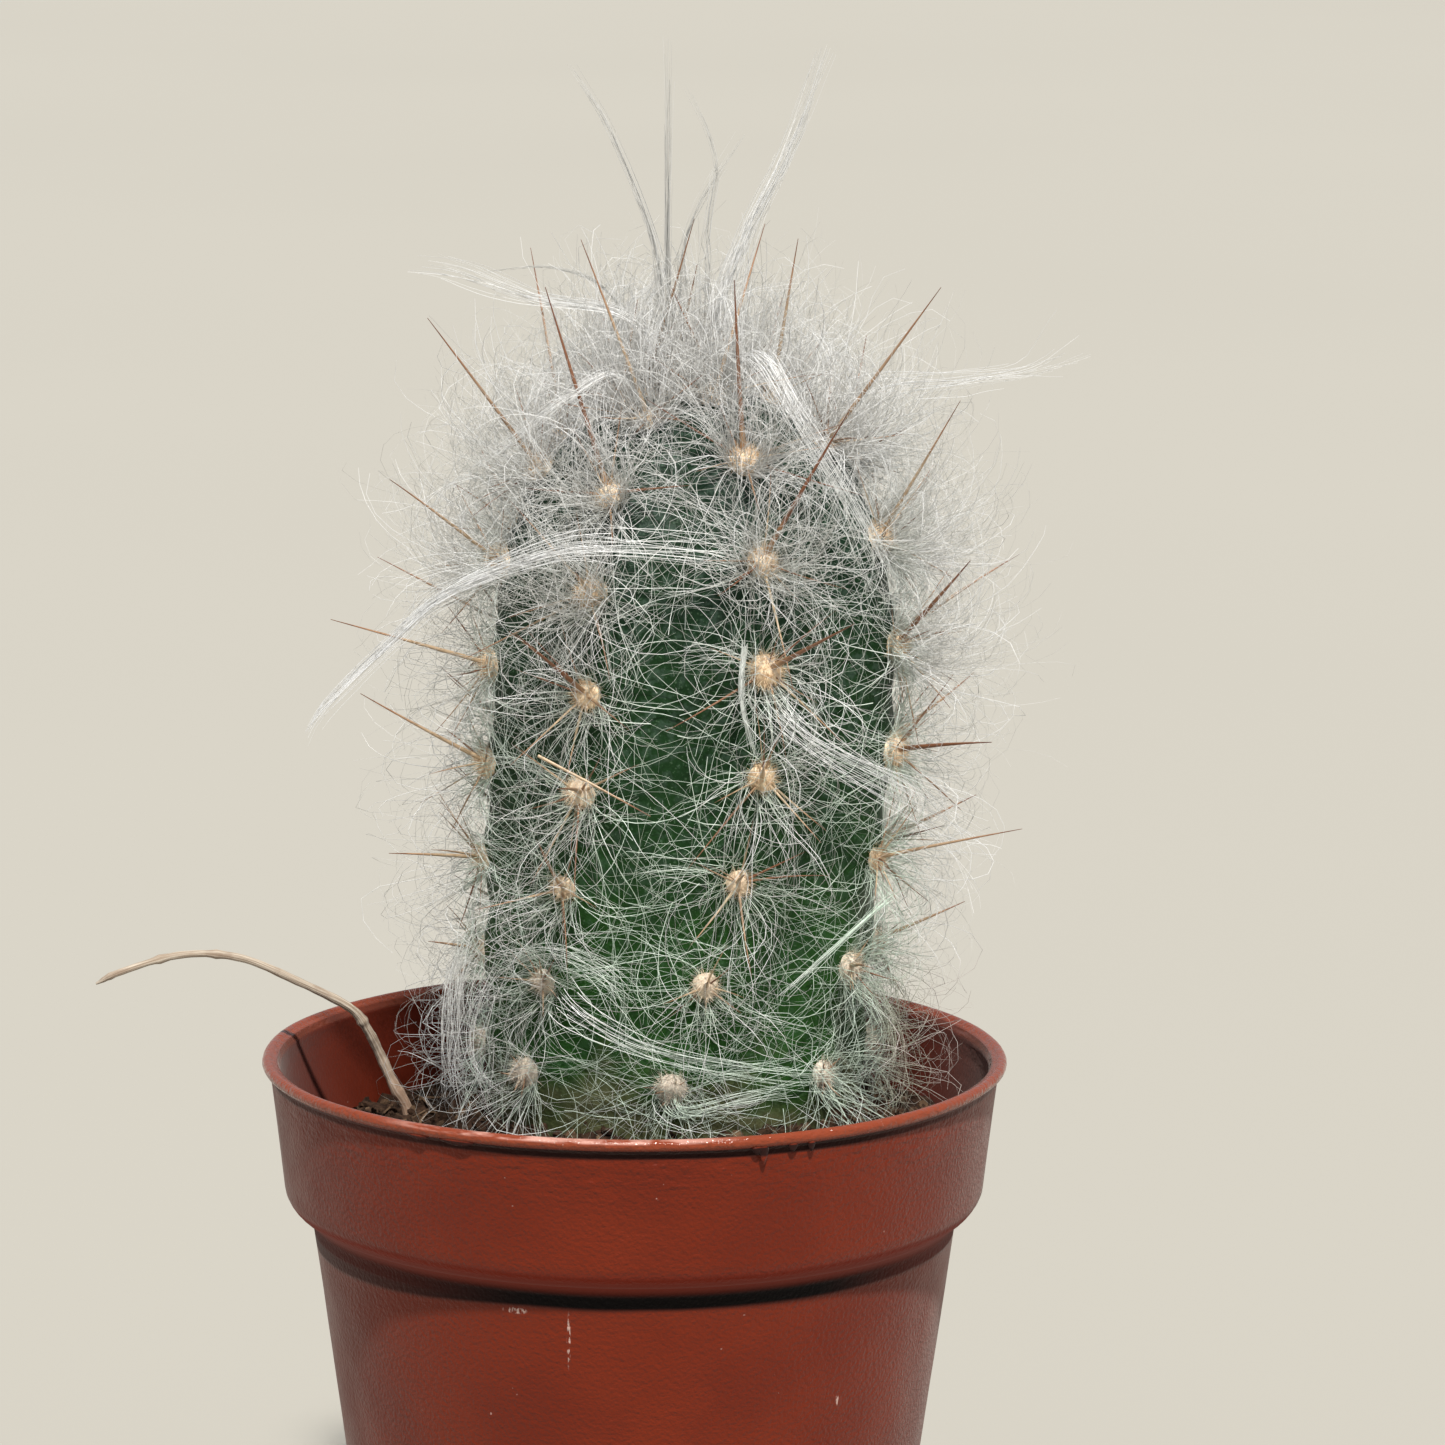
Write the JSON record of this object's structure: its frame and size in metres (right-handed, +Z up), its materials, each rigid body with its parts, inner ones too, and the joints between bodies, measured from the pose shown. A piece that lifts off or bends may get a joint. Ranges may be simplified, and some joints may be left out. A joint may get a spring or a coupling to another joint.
{
  "type": "potted oreocereus",
  "caption": "Young woolly column cactus with low ribs, tan areoles, rusty spines and long white hair, standing in soil in a small round plastic nursery pot with a deep collar.",
  "frame": {"origin": "middle of the pot's flat underside, on which it stands", "axes": "+Z up along the pot's axis; the front, as pictured, looks along -Y; +X is to the right of that view"},
  "size_m": [0.0731, 0.055, 0.1252],
  "materials": {
    "pot_plastic": "satin",
    "peat_soil": "matte",
    "cactus_skin": "satin",
    "dry_straw": "matte",
    "white_hair": "satin",
    "spine_horn": "satin",
    "areole_felt": "matte"
  },
  "bodies": {
    "root": {"pot": "pot_plastic", "soil": "peat_soil", "cactus": "cactus_skin", "dry_stem": "dry_straw"}
  },
  "joints": []
}
